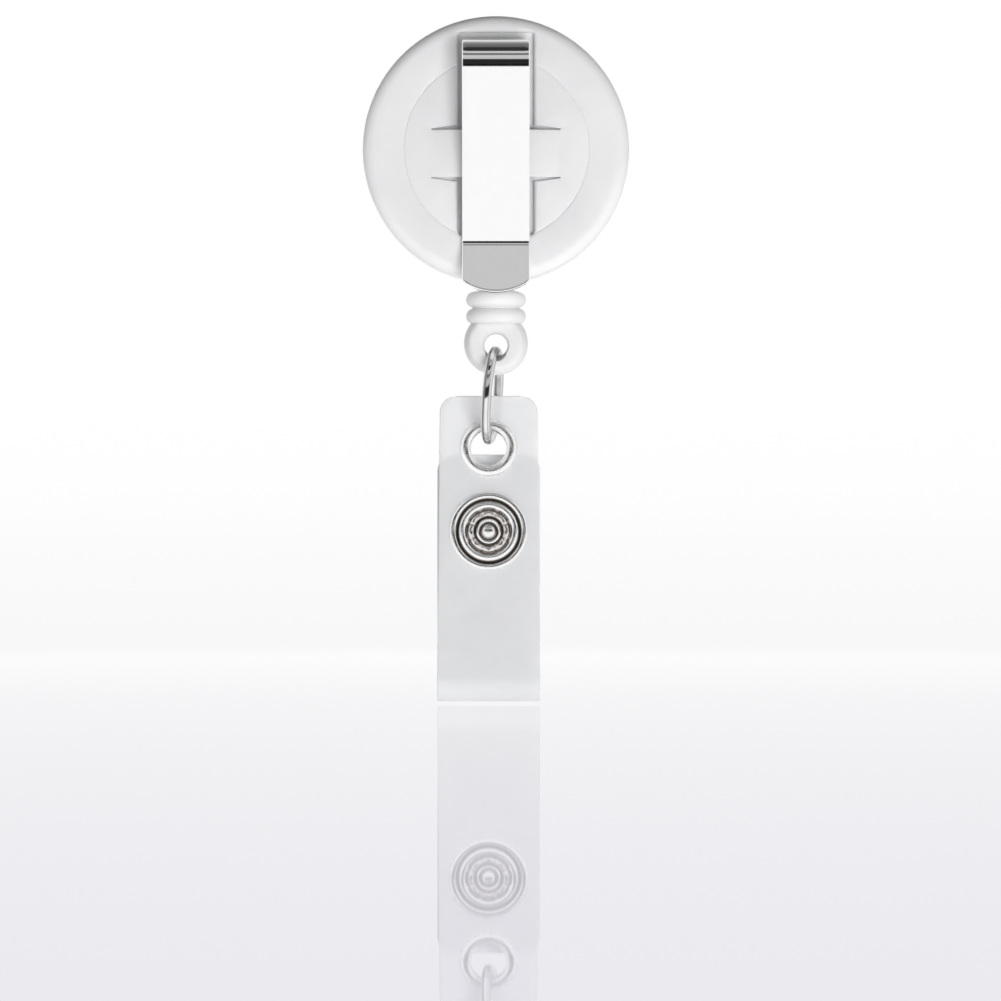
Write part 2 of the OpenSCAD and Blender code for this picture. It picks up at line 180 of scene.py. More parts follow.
def lathe(name, outline, centre=(0, 0, 0), steps=96, facing=1):
    """A closed outline of (radius, depth) turned round an axis along Y. facing -1 turns it to face -Y."""
    verts = []
    for i in range(steps):
        a = 2 * math.pi * i / steps
        for r, d in outline:
            verts.append((centre[0] + r * math.cos(a), centre[1] + facing * d, centre[2] + r * math.sin(a)))
    return make(name, verts, tube_faces(steps, len(outline), closed_rows=True))


AXES = {
    "X": lambda a, b, c: (c, a, b),
    "Y": lambda a, b, c: (a, c, b),
    "Z": lambda a, b, c: (a, b, c),
}


def prism(name, outline, low, high, axis, rim_low=0.0, rim_high=0.0, steps=4):
    """A convex outline extruded along an axis. A rim above 0 rounds the edge, and one below 0 flares it."""
    quarter = [math.pi / 2 * k / steps for k in range(steps + 1)]

    def end(rim):
        if rim > 0:
            return [(rim - rim * math.cos(q), rim * math.sin(q) - rim) for q in quarter]
        if rim < 0:
            r = -rim
            return [(-1.0, r)] + [(r - r * math.sin(q), r - r * math.cos(q)) for q in reversed(quarter)]
        return [(0.0, 0.0)]

    layers = [(low + depth, d) for depth, d in end(rim_low)]
    layers += [(high - depth, d) for depth, d in reversed(end(rim_high))]
    place = AXES[axis]
    verts = [place(a, b, c) for c, d in layers for a, b in (grow(outline, d) if d else outline)]
    n = len(outline)
    faces = tube_faces(len(layers), n)
    faces.append(tuple(range(n)))
    faces.append(tuple((len(layers) - 1) * n + k for k in range(n)))
    return make(name, verts, faces)


def sweep(name, centres, sides, ups, section, scales):
    """A section of (side, up) points carried along a line of centres, scaled at each of them."""
    verts = []
    for centre, side, up, scale in zip(centres, sides, ups, scales):
        for a, b in section:
            verts.append(np.array(centre) + scale * (a * np.array(side) + b * np.array(up)))
    n = len(section)
    faces = tube_faces(len(centres), n)
    faces.append(tuple(range(n)))
    faces.append(tuple((len(centres) - 1) * n + k for k in range(n)))
    return make(name, verts, faces)


def circle(radius, count):
    """Points round a circle."""
    angles = np.radians(np.linspace(0, 360, count, endpoint=False))
    return [(radius * math.cos(a), radius * math.sin(a)) for a in angles]


def stand_up(obj, z):
    """Turns a lathed shape so that its axis is the cord's, with its depths going up from z."""
    obj.data.transform(((1, 0, 0, 0), (0, 0, 1, CORD_Y), (0, 1, 0, z), (0, 0, 0, 1)))
    return obj


def combine(obj, tool, operation="DIFFERENCE"):
    """Cuts a tool out of an object, or joins it on."""
    modifier = obj.modifiers.new("combine", "BOOLEAN")
    modifier.solver = "EXACT"
    modifier.operation = operation
    modifier.object = tool
    bpy.context.view_layer.update()
    evaluated = obj.evaluated_get(bpy.context.evaluated_depsgraph_get())
    mesh = bpy.data.meshes.new_from_object(evaluated)
    obj.modifiers.clear()
    obj.data = mesh
    bpy.data.objects.remove(tool)
    return obj


def strip(name, path, half_w, half_t, edge, corners, across=10, drop=None, drop_from=0.0, x0=0.0):
    """A strip of even thickness that follows a path of (y, z) points, with rounded edges and ends.

    half_w gives the half width at a share of the length, and corners are the corner radii in plan at the
    two ends. drop shortens the last stretch at a distance from the middle line, from the length drop_from
    on. x0 is the x of the middle line.
    """
    path = np.array(path, float)
    steps = np.linalg.norm(np.diff(path, axis=0), axis=1)
    along = np.concatenate([[0], np.cumsum(steps)])
    length = along[-1]
    tangents = np.gradient(path, along, axis=0)
    tangents /= np.linalg.norm(tangents, axis=1)[:, None]
    normals = np.stack([tangents[:, 1], -tangents[:, 0]], axis=1)

    ends = []
    for corner in corners:
        reach = max(corner, edge)
        rows = []
        for k in range(9):
            q = math.pi / 2 * k / 8
            rows.append((corner * (1 - math.sin(q)), corner * (1 - math.cos(q)), 0.0))
        quarter = np.linspace(0, math.pi / 2, 5)[1:]
        tip = [(edge * (1 - math.sin(q)), corner, edge * (1 - math.cos(q))) for q in quarter]
        rows = [r for r in rows if r[0] > edge + 1e-6] + tip
        ends.append((reach, rows))
    first_reach, first = ends[0]
    last_reach, last = ends[1]
    rows = [(i, n, t) for i, n, t in reversed(first)]
    middle = along[(along > first_reach + 1e-6) & (along < length - last_reach - 1e-6)]
    rows += [(first_reach, 0.0, 0.0)] + [(s, 0.0, 0.0) for s in middle] + [(length - last_reach, 0.0, 0.0)]
    rows += [(length - i, n, t) for i, n, t in last]

    w0 = max(half_w(0.0), half_w(1.0))
    flat = np.linspace(-(w0 - edge), w0 - edge, across + 1)
    round_edge = arc((w0 - edge, half_t - edge), edge, 0, 90, 3)
    section = [(u, half_t) for u in flat[:-1]]
    section += [(u, v) for u, v in reversed(round_edge)]
    section += [(u, -v) for u, v in round_edge]
    section += [(u, -half_t) for u in flat[::-1][1:-1]]
    section += [(-u, -v) for u, v in reversed(round_edge)]
    section += [(-u, v) for u, v in round_edge[:-1]]

    verts = []
    for s, narrow, thin in rows:
        wide = (half_w(s / length) - narrow) / w0
        for u, v in section:
            x = u * wide
            at = s
            if drop and s > drop_from:
                at = s - (s - drop_from) / (length - drop_from) * drop(abs(x))
            p = np.array([np.interp(at, along, path[:, 0]), np.interp(at, along, path[:, 1])])
            n = np.array([np.interp(at, along, normals[:, 0]), np.interp(at, along, normals[:, 1])])
            n /= np.linalg.norm(n)
            p = p + n * v * (half_t - thin) / half_t
            verts.append((x0 + x, p[0], p[1]))
    n = len(section)
    faces = tube_faces(len(rows), n)
    faces.append(tuple(range(n)))
    faces.append(tuple((len(rows) - 1) * n + k for k in range(n)))
    return make(name, verts, faces)


def bend_path(*stretches, step=0.15):
    """One line of points from straight stretches and arcs that follow each other, resampled evenly."""
    points = [stretches[0][0]]
    for stretch in stretches:
        for p in stretch:
            if math.dist(points[-1], p) > 1e-6:
                points.append(p)
    points = np.array(points, float)
    along = np.concatenate([[0], np.cumsum(np.linalg.norm(np.diff(points, axis=0), axis=1))])
    even = np.linspace(0, along[-1], max(2, round(along[-1] / step)))
    return np.stack([np.interp(even, along, points[:, k]) for k in (0, 1)], axis=1)


def settle(obj, body, material, nodes=(), sharp=32.0, blend=None):
    """Scales a finished shape to metres, shades it, and ties it to its CAD body."""
    obj.data.transform(((MM, 0, 0, 0), (0, MM, 0, 0), (0, 0, MM, 0), (0, 0, 0, 1)))
    obj.data.materials.clear()
    obj.data.materials.append(material)
    obj.data.shade_smooth()
    obj.data.set_sharp_from_angle(angle=math.radians(sharp))
    if blend:
        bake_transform(obj)
    else:
        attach(obj, body)
    if nodes:
        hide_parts(*nodes)
    return obj


# ---------------------------------------------------------------- material helpers
def new_material(name, **sockets):
    """A principled material with plain values on the shader's own sockets."""
    material = bpy.data.materials.new(name)
    material.use_nodes = True
    shader = material.node_tree.nodes["Principled BSDF"]
    for socket, value in sockets.items():
        shader.inputs[socket.replace("_", " ")].default_value = value
    return material


def fill_ramp(node, stops):
    """Sets a colour ramp's stops. A tone is a grey or a colour."""
    elements = node.color_ramp.elements
    while len(elements) < len(stops):
        elements.new(0.5)
    for element, (position, tone) in zip(elements, stops):
        element.position = position
        element.color = (*tone, 1) if hasattr(tone, "__len__") else (tone, tone, tone, 1)


def noise(material, scale, detail=4.0, stretch=(1, 1, 1), kind="ShaderNodeTexNoise"):
    """A procedural texture in the object's own coordinates, per metre."""
    nodes, links = material.node_tree.nodes, material.node_tree.links
    coordinates = nodes.new("ShaderNodeTexCoord")
    mapping = nodes.new("ShaderNodeMapping")
    mapping.inputs["Scale"].default_value = stretch
    texture = nodes.new(kind)
    texture.inputs["Scale"].default_value = scale
    if "Detail" in texture.inputs:
        texture.inputs["Detail"].default_value = detail
    links.new(coordinates.outputs["Object"], mapping.inputs["Vector"])
    links.new(mapping.outputs["Vector"], texture.inputs["Vector"])
    return texture


def ramp(material, source, stops, target):
    """Sends a texture's value through a colour ramp to a shader socket."""
    nodes, links = material.node_tree.nodes, material.node_tree.links
    node = nodes.new("ShaderNodeValToRGB")
    fill_ramp(node, stops)
    out = source.outputs.get("Fac") or source.outputs.get("Distance") or source.outputs[0]
    links.new(out, node.inputs["Fac"])
    links.new(node.outputs["Color"], nodes["Principled BSDF"].inputs[target])


def shade_base(material, value, stops):
    """Multiplies the base colour by a ramp of a value between 0 and 1."""
    nodes, links = material.node_tree.nodes, material.node_tree.links
    tones = nodes.new("ShaderNodeValToRGB")
    fill_ramp(tones, stops)
    links.new(value, tones.inputs["Fac"])
    base = nodes["Principled BSDF"].inputs["Base Color"]
    both = nodes.new("ShaderNodeMixRGB")
    both.blend_type = "MULTIPLY"
    both.inputs["Fac"].default_value = 1.0
    links.new(base.links[0].from_socket, both.inputs["Color1"])
    links.new(tones.outputs["Color"], both.inputs["Color2"])
    links.new(both.outputs["Color"], base)


def bump(material, source, strength, depth_mm, previous=None):
    """A bump from a texture, of a depth in millimetres."""
    nodes, links = material.node_tree.nodes, material.node_tree.links
    node = nodes.new("ShaderNodeBump")
    node.inputs["Strength"].default_value = strength
    node.inputs["Distance"].default_value = depth_mm * MM
    out = source.outputs.get("Fac") or source.outputs.get("Distance") or source.outputs[0]
    links.new(out, node.inputs["Height"])
    if previous:
        links.new(previous.outputs["Normal"], node.inputs["Normal"])
    links.new(node.outputs["Normal"], nodes["Principled BSDF"].inputs["Normal"])
    return node


def plastic(name, low, high, roughness, grain, subsurface):
    """Moulded plastic: faint cloudiness, a fine satin texture and a little light inside."""
    material = new_material(
        name, Subsurface_Weight=subsurface, Subsurface_Scale=0.0012, Subsurface_Radius=(1.0, 0.9, 0.8),
        Specular_IOR_Level=0.45)
    ramp(material, noise(material, 140, 3), [(0.35, low), (0.65, high)], "Base Color")
    ramp(material, noise(material, 900, 4), [(0.3, roughness - 0.05), (0.7, roughness + 0.07)], "Roughness")
    fine = bump(material, noise(material, 5200, 2), 0.35, grain)
    bump(material, noise(material, 260, 2), 0.25, 3 * grain, fine)
    return material


def metal(name, low, high, roughness, stretch=(1, 1, 1), scratch=0.004, tint_scale=500):
    """Bright plated metal: uneven tone, drawn streaks and fine scratches."""
    material = new_material(name, Metallic=1.0)
    ramp(material, noise(material, tint_scale, 5), [(0.3, low), (0.7, high)], "Base Color")
    streaks = noise(material, 1500, 4, stretch)
    ramp(material, streaks, [(0.3, roughness * 0.7), (0.75, roughness * 1.5)], "Roughness")
    bump(material, streaks, 0.3, scratch)
    return material


# ---------------------------------------------------------------- materials
GRAIN = 0.006
case_plastic = plastic("case_white_plastic", (0.87, 0.87, 0.875), (0.91, 0.91, 0.91), 0.36, GRAIN, 0.35)
bead_plastic = plastic("cord_end_plastic", (0.86, 0.86, 0.86), (0.90, 0.90, 0.895), 0.40, GRAIN, 0.25)
spool_plastic = plastic("spool_plastic", (0.55, 0.56, 0.57), (0.62, 0.63, 0.64), 0.45, GRAIN, 0.05)
clip_metal = metal("clip_nickel", (0.945, 0.945, 0.945), (0.957, 0.957, 0.955), 0.07, (1, 1, 0.06), 0.0002)
eyelet_metal = metal("eyelet_nickel", (0.92, 0.92, 0.92), (0.98, 0.98, 0.975), 0.26, (1, 1, 1), 0.002)
snap_metal = metal("snap_nickel", (0.76, 0.75, 0.73), (0.84, 0.83, 0.81), 0.2, (1, 1, 1), 0.002, 300)
spring_metal = metal("spring_blue_steel", (0.30, 0.34, 0.42), (0.42, 0.46, 0.52), 0.25, (1, 1, 1), 0.003)


# The snap cap's painted reflection and shade: its tone at each radius in millimetres, which stands in for
# what the grooves would reflect.
CAP_REACH = 5.0
CAP_PAINTED_REFLECTION = [
    (0.0, 0.80), (0.30, 0.98), (0.78, 0.95), (0.92, 0.16), (1.05, 0.20), (1.16, 1.0), (1.46, 1.0),
    (1.60, 0.12), (1.76, 0.16), (1.92, 0.75), (2.35, 0.85), (2.52, 0.25), (2.68, 0.30), (2.86, 1.0),
    (3.52, 1.0), (3.66, 0.05), (3.88, 0.05), (4.0, 0.95), (4.75, 1.0),
]


def cap_material(x, z):
    """The snap cap's nickel, with painted reflection in its colour: a painted highlight on the raised rings,
    and painted dark brown shade in the grooves between them.
    """
    material = metal("snap_cap_nickel", (0.9, 0.9, 0.9), (0.95, 0.95, 0.95), 0.22, (1, 1, 1), 0.003, 900)
    nodes, links = material.node_tree.nodes, material.node_tree.links
    coordinates = nodes.new("ShaderNodeTexCoord")
    middle = nodes.new("ShaderNodeMapping")
    middle.inputs["Location"].default_value = (-x / CAP_REACH, 0, -z / CAP_REACH)
    middle.inputs["Scale"].default_value = (1 / (CAP_REACH * MM), 0, 1 / (CAP_REACH * MM))
    radius = nodes.new("ShaderNodeVectorMath")
    radius.operation = "LENGTH"
    links.new(coordinates.outputs["Object"], middle.inputs["Vector"])
    links.new(middle.outputs["Vector"], radius.inputs[0])
    stops = [(r / CAP_REACH, (tone, tone ** 1.12, tone ** 1.22)) for r, tone in CAP_PAINTED_REFLECTION]
    shade_base(material, radius.outputs["Value"], stops)
    return material


def vinyl_material():
    """Frosted clear vinyl: a little see-through, with a soft sheen and faint ripples."""
    material = new_material(
        "frosted_vinyl", Coat_Weight=0.25, Coat_Roughness=0.18, Specular_IOR_Level=0.5,
        Transmission_Weight=0.12)
    cloud = noise(material, 160, 4)
    ramp(material, cloud, [(0.3, (0.875, 0.88, 0.89)), (0.7, (0.915, 0.92, 0.93))], "Base Color")
    ramp(material, noise(material, 700, 4), [(0.3, 0.30), (0.7, 0.46)], "Roughness")
    ramp(material, noise(material, 210, 3), [(0.3, 0.85), (0.7, 0.91)], "Alpha")
    fine = bump(material, noise(material, 3200, 3), 0.25, 0.01)
    bump(material, noise(material, 120, 2), 0.35, 0.06, fine)
    return material


def cord_material():
    """Fine cord: small raised cells, which pass for a braid at this size."""
    material = new_material("braided_cord", Roughness=0.75, Sheen_Weight=0.25)
    weave = noise(material, 1400, 0, (1, 1, 0.9), "ShaderNodeTexVoronoi")
    ramp(material, weave, [(0.1, (0.90, 0.90, 0.89)), (0.8, (0.62, 0.62, 0.63))], "Base Color")
    bump(material, weave, 0.8, 0.08)
    return material


vinyl = vinyl_material()
cord = cord_material()

# ---------------------------------------------------------------- case
back_hi = box_mm("back_shell")[1]
front_hi = box_mm("front_shell")[1]
leg_lo, leg_hi = box_mm("clip_anchor_leg")
leaf_lo, leaf_hi = box_mm("clip_leaf")
run_lo, run_hi = box_mm("cord_run")

CASE_R = back_hi.x
CASE_T = front_hi.y
SHOULDER = 1.5
SEAM_Y = 4.4
SEAM_GAP = 0.15
SEAM_STEP = 1.0
SKIRT = 0.6
WALL = 1.2
FLOOR_T = 2.0
FACE_T = 1.3
LINE_R = 11.1
LINE_W = 0.13
LINE_DEPTH = 0.16
CORD_Y = (run_lo.y + run_hi.y) / 2
CHAMBER_R = CASE_R - WALL
LABEL_R = 13.0
LABEL_T = 0.3
CHANNEL_HALF_W = 4.55
CHANNEL_Z = (-10.25, 13.95)
CHANNEL_T = 1.0
BRIDGE_Z = (-3.4, 2.3)
BRIDGE_HALF_W = 7.7
BRIDGE_RISE = 1.0
BRIDGE_UNDER = 0.2
SLIT_START = 3.0
SLIT_WIDE_X = 5.0
SLIT_W = 0.52
SLIT_TIP_W = 0.12
SLIT_T = 0.8
ARBOR_R = 1.6
ARBOR_BOSS_R = 2.6
ARBOR_BOSS_Y = 2.17
ARBOR_SLOT_Y = 3.1
ARBOR_SLOT_HALF_W = 0.3
SOCKET_R = 2.8
SOCKET_Y = 6.45
OUTLET_R = 0.7
OUTLET_MOUTH_R = 1.3
# The gap between parts that fit into each other, and how far the cutting tools reach.
FIT = 0.03
RUN_PAST = 3.0


def outlet_tool():
    """The flared hole at the bottom of the case, where the cord comes out."""
    outline = fillet([
        (0, -2.5, 0), (OUTLET_MOUTH_R, -2.5), (OUTLET_MOUTH_R, 0.05), (OUTLET_R, 0.75), (OUTLET_R, RUN_PAST),
        (0, RUN_PAST, 0)], 0.15)
    return stand_up(lathe("cut", outline, steps=48), -CASE_R)


def fine_line():
    """The rounded groove of the circle on the back."""
    half = [(2.2, 0.0), (1.0, 0.04), (0.5, LINE_DEPTH)]
    outline = [(LINE_R + LINE_W * share, depth) for share, depth in half]
    return outline + [(LINE_R - LINE_W * share, depth) for share, depth in reversed(half)]


def slit_tool(side, up):
    """One of the four tapering slits above (up 1) and below (up -1) the bridge."""
    base = BRIDGE_Z[1] if up > 0 else BRIDGE_Z[0]
    wide = base + up * SLIT_W
    slit = [
        (side * SLIT_START, base - up * 0.1), (side * BRIDGE_HALF_W, base - up * 0.02),
        (side * (BRIDGE_HALF_W + 0.05), base + up * SLIT_TIP_W), (side * SLIT_WIDE_X, wide),
        (side * SLIT_START, wide)]
    return prism("cut", counter_clockwise(slit), 0.0, SLIT_T, "Y", rim_low=-0.07)


def bridge_tool():
    """The moulded band, bowed outwards, that the clip's inner leg passes under."""
    r = (BRIDGE_HALF_W ** 2 + BRIDGE_RISE ** 2) / (2 * BRIDGE_RISE)
    reach = math.degrees(math.asin(BRIDGE_HALF_W / r))
    outline = arc((0, r - BRIDGE_RISE), r, 270 - reach, 270 + reach, 24)
    outline += [(BRIDGE_HALF_W, BRIDGE_UNDER), (-BRIDGE_HALF_W, BRIDGE_UNDER)]
    return prism("add", outline, BRIDGE_Z[0], BRIDGE_Z[1], "Z", rim_low=0.16, rim_high=0.16)


def arbor_tool():
    """The post that the spool turns on, slotted for the mainspring's inner end."""
    outline = fillet([
        (0, FLOOR_T - 0.3, 0), (ARBOR_BOSS_R, FLOOR_T - 0.3, 0), (ARBOR_BOSS_R, ARBOR_BOSS_Y, 0.06),
        (ARBOR_R, ARBOR_BOSS_Y, 0.06), (ARBOR_R, back_hi.y, 0.2), (0, back_hi.y, 0)], 0.1)
    w = ARBOR_SLOT_HALF_W
    slot = [(-RUN_PAST, -w), (RUN_PAST, -w), (RUN_PAST, w), (-RUN_PAST, w)]
    return combine(lathe("add", outline, steps=48), prism("cut", slot, ARBOR_SLOT_Y, CASE_T, "Y"))


def back_case():
    """The back shell, with its fine circle, the clip's channel, the bridge and the slits beside it."""
    seam_in = SEAM_Y - SEAM_STEP
    outline = [(0.0, 0.0), (0.0, FLOOR_T)]
    outline += fillet([
        (0, 0, 0), (0, FLOOR_T, 0), (CHAMBER_R, FLOOR_T, 0.3), (CHAMBER_R, seam_in, 0.08),
        (CASE_R - SKIRT, seam_in, 0.08), (CASE_R - SKIRT, SEAM_Y, 0.1), (CASE_R, SEAM_Y, 0.14),
        (CASE_R, 2.0, 0)], 0.1)[2:]
    outline += arc((CASE_R - SHOULDER, SHOULDER), SHOULDER, 0, -90, 12)
    outline += fine_line()
    shell = lathe("case_back", outline, steps=192)

    low, high = CHANNEL_Z
    w = CHANNEL_HALF_W
    channel = fillet([(-w, low), (w, low), (w, high), (-w, high)], 0.35)
    combine(shell, prism("cut", channel, 0.0, CHANNEL_T, "Y", rim_low=-0.5, steps=8))
    for side in (-1, 1):
        for up in (-1, 1):
            combine(shell, slit_tool(side, up))
    combine(shell, outlet_tool())
    combine(shell, bridge_tool(), "UNION")
    return combine(shell, arbor_tool(), "UNION")


def front_case():
    """The front shell: a plain face with a shallow recess for a label."""
    seam = SEAM_Y + SEAM_GAP
    skirt_y = SEAM_Y - SEAM_STEP + FIT
    skirt_r = CASE_R - SKIRT - FIT
    inner = CASE_T - FACE_T
    outline = fillet([
        (0, CASE_T - LABEL_T, 0), (LABEL_R, CASE_T - LABEL_T, 0.06), (LABEL_R, CASE_T, 0.1),
        (CASE_R - SHOULDER, CASE_T, 0)], 0.1)[:-1]
    outline += arc((CASE_R - SHOULDER, CASE_T - SHOULDER), SHOULDER, 90, 0, 12)
    outline += fillet([
        (CASE_R, seam + 0.5, 0), (CASE_R, seam, 0.14), (skirt_r, seam, 0.05), (skirt_r, skirt_y, 0.08),
        (CHAMBER_R, skirt_y, 0.08), (CHAMBER_R, inner, 0.4), (SOCKET_R, inner, 0.15),
        (SOCKET_R, SOCKET_Y, 0.1), (ARBOR_R + FIT, SOCKET_Y, 0.05), (ARBOR_R + FIT, inner, 0.05),
        (0, inner, 0)], 0.1)
    return combine(lathe("case_front", outline, steps=192), outlet_tool())


settle(back_case(), "case", case_plastic, ["back_shell"])
settle(front_case(), "case", case_plastic, ["front_shell"])

# ---------------------------------------------------------------- clip
CLIP_W = leg_hi.x - leg_lo.x
CLIP_T = 0.5
BEND_R = 2.9
BEND_Y = leg_hi.y - BEND_R
BEND_Z = leaf_hi.z - BEND_R
LEAF_ANGLE = math.radians(11.36)
LIP_ANGLE = math.radians(25)
CREASE_Z = -10.85
CREASE_R = 1.15
LIP_END_R = 6.8
LIP_SHORT = 0.12
CLIP_EDGE = 0.16
CLIP_CORNERS = (0.6, 0.35)
TONGUE = [(0.32, -7.0), (-0.2, -3.75), (-0.2, -3.6), (0.32, -3.6)]
TONGUE_HALF_W = 1.5
TONGUE_RIM = 0.05


def clip():
    """One strip of spring steel: inner leg, bend, leaf, crease and lip, with the lanced tongue on the leg."""
    mid = BEND_R - CLIP_T / 2
    leg = [(BEND_Y + mid, leg_lo.z), (BEND_Y + mid, BEND_Z)]
    bend = arc((BEND_Y, BEND_Z), mid, 0, 180 + math.degrees(LEAF_ANGLE), 48)
    down = (math.sin(LEAF_ANGLE), -math.cos(LEAF_ANGLE))
    run = (BEND_Z - CREASE_Z) / math.cos(LEAF_ANGLE)
    crease = (bend[-1][0] + down[0] * run, bend[-1][1] + down[1] * run)
    back = CREASE_R * math.tan((LEAF_ANGLE + LIP_ANGLE) / 2)
    start = (crease[0] - down[0] * back, crease[1] - down[1] * back)
    middle = (start[0] - CREASE_R * math.cos(LEAF_ANGLE), start[1] - CREASE_R * math.sin(LEAF_ANGLE))
    knee = arc(middle, CREASE_R, math.degrees(LEAF_ANGLE), -math.degrees(LIP_ANGLE), 10)
    lip = (-math.sin(LIP_ANGLE), -math.cos(LIP_ANGLE))
    lip_l = (knee[-1][1] - leaf_lo.z) / math.cos(LIP_ANGLE) - LIP_SHORT
    tip = (knee[-1][0] + lip[0] * lip_l, knee[-1][1] + lip[1] * lip_l)
    path = bend_path(leg, bend, [start], knee, [tip])
    total = float(np.linalg.norm(np.diff(path, axis=0), axis=1).sum())

    def drop(x):
        return (LIP_END_R - math.sqrt(max(0.0, LIP_END_R ** 2 - x * x))) / math.cos(LIP_ANGLE)

    body = strip("clip_strip", path, lambda s: CLIP_W / 2, CLIP_T / 2, CLIP_EDGE, CLIP_CORNERS,
                 drop=drop, drop_from=total - lip_l)
    w = TONGUE_HALF_W
    tongue = prism("add", counter_clockwise(TONGUE), -w, w, "X", TONGUE_RIM, TONGUE_RIM)
    return combine(body, tongue, "UNION")


settle(clip(), None, clip_metal, ["clip_anchor_leg", "clip_leaf"], sharp=40.0,
       blend=("case", "clip_leaf", (0, 0.3 * MM, -9.6 * MM), (0, -0.417 * MM, -9.67 * MM)))

# ---------------------------------------------------------------- cord and its moulded end
end_lo, end_hi = box_mm("cord_end")
lead_lo, lead_hi = box_mm("cord_lead")
CORD_R = (lead_hi.x - lead_lo.x) / 2
NOSE_R = 2.0
NOSE_ROUND = 0.35
NOSE_L = 0.6
RIB_R = 3.6
RIB_ROUND = 0.95
RIB_Z = (-18.0, -20.0)
FLAT_TOP_Z = -20.9
FLAT_BLEND = 0.4
FLAT_HALF_Y = 2.3
FLAT_SOFT = 0.35
RING_TOP_Z = -24.15
CROSS_Z = -23.5
CROSS_R = 1.4
CROSS_MOUTH_R = 1.62
CONE_Y = 0.8
CONE_R = 0.75
CONE_SLOPE = 0.4
CORD_WAVE = 0.03


def bead():
    """The moulded end's outside: a nose, two rounded ribs and a bulb with a flattened front and back."""
    bulb_r = end_hi.x
    bulb_z = end_lo.z + bulb_r
    outline = [(0.0, end_hi.z)]
    outline += arc((NOSE_R - NOSE_ROUND, end_hi.z - NOSE_ROUND), NOSE_ROUND, 90, 0, 4)
    outline += [(NOSE_R, end_hi.z - NOSE_L)]
    for z in RIB_Z:
        outline += arc((RIB_R - RIB_ROUND, z), RIB_ROUND, 78, -78, 16)
    outline += arc((0, bulb_z), bulb_r, 40, -90, 28)
    verts = []
    steps = 96
    for i in range(steps):
        a = 2 * math.pi * i / steps
        for r, z in outline:
            x, y = r * math.cos(a), r * math.sin(a)
            over = abs(y) - FLAT_HALF_Y + FLAT_SOFT
            if z < FLAT_TOP_Z and over > 0:
                pressed = FLAT_HALF_Y - FLAT_SOFT + FLAT_SOFT * (1 - math.exp(-over / FLAT_SOFT))
                share = min(1.0, (FLAT_TOP_Z - z) / FLAT_BLEND)
                y = math.copysign(abs(y) * (1 - share) + pressed * share, y)
            verts.append((x, CORD_Y + y, z))
    return make("cord_end_bead", verts, tube_faces(steps, len(outline), closed_rows=True))


def closed_bead():
    """The bead as a closed solid with its cross hole, its flared mouths and the knot's hollow."""
    body = bead()
    bm = bmesh.new()
    bm.from_mesh(body.data)
    bmesh.ops.remove_doubles(bm, verts=bm.verts, dist=1e-3)
    bmesh.ops.holes_fill(bm, edges=bm.edges)
    bmesh.ops.recalc_face_normals(bm, faces=bm.faces)
    bm.to_mesh(body.data)
    bm.free()
    past = RUN_PAST
    cross = [
        (0, -past, 0), (CROSS_MOUTH_R, -past, 0), (CROSS_MOUTH_R, -2.22, 0), (CROSS_R, -1.95, 0.2),
        (CROSS_R, 1.95, 0.2), (CROSS_MOUTH_R, 2.22, 0), (CROSS_MOUTH_R, past, 0), (0, past, 0)]
    combine(body, lathe("cut", fillet(cross, 0.1), (0, CORD_Y, CROSS_Z), steps=48))
    cone = [(0, CONE_Y), (CONE_R, CONE_Y), (CONE_R + CONE_SLOPE * past, CONE_Y + past), (0, CONE_Y + past)]
    for side in (-1, 1):
        combine(body, lathe("cut", cone, (0, CORD_Y, RING_TOP_Z), steps=48, facing=side))
    bore_r = CORD_R + FIT
    bore = fillet([
        (0, -20.2, 0), (0.5, -19.9), (0.98, -19.3), (0.98, -18.7), (0.5, -18.1), (bore_r, -17.9, 0),
        (bore_r, -15.5, 0), (0, -15.5, 0)], 0.2)
    return combine(body, stand_up(lathe("cut", bore, steps=32), 0))


def cord_tube(name, top, bottom, rows):
    """A length of the cord, with a faint unevenness along it."""
    radii = [CORD_R * (1 + CORD_WAVE * math.sin(17 * i)) for i in range(rows)]
    centres = [(0, CORD_Y, z) for z in np.linspace(top, bottom, rows)]
    return sweep(name, centres, [(1, 0, 0)] * rows, [(0, 1, 0)] * rows, circle(1.0, 24), radii)


settle(closed_bead(), "cord_end", bead_plastic, ["cord_end"], sharp=38.0)
settle(cord_tube("cord_free_length", lead_hi.z, lead_lo.z, 60), None, cord, ["cord_lead"],
       blend=("case", "cord_end", (0, CORD_Y * MM, lead_hi.z * MM), (0, CORD_Y * MM, lead_lo.z * MM)))

# ---------------------------------------------------------------- ring
WIRE_R = 0.6
RING_R = 5.4
RING_TURN = math.radians(-7)
RING_LEAN = math.radians(4.7)
RING_GAP = 0.75
WIRE_END = 0.86
# The wire's painted reflection: its tone at each share of the way across it.
WIRE_PAINTED_REFLECTION = [
    (0.0, 0.75), (0.10, 0.95), (0.20, 0.35), (0.30, 0.16), (0.38, 0.60), (0.48, 1.0), (0.66, 1.0),
    (0.76, 0.55), (0.84, 0.9), (1.0, 0.5),
]


def leaned(x, y, z):
    """A direction on the ring, turned the way the ring leans."""
    cos, sin = math.cos(RING_LEAN), math.sin(RING_LEAN)
    return np.array([x * cos + z * sin, y, z * cos - x * sin])


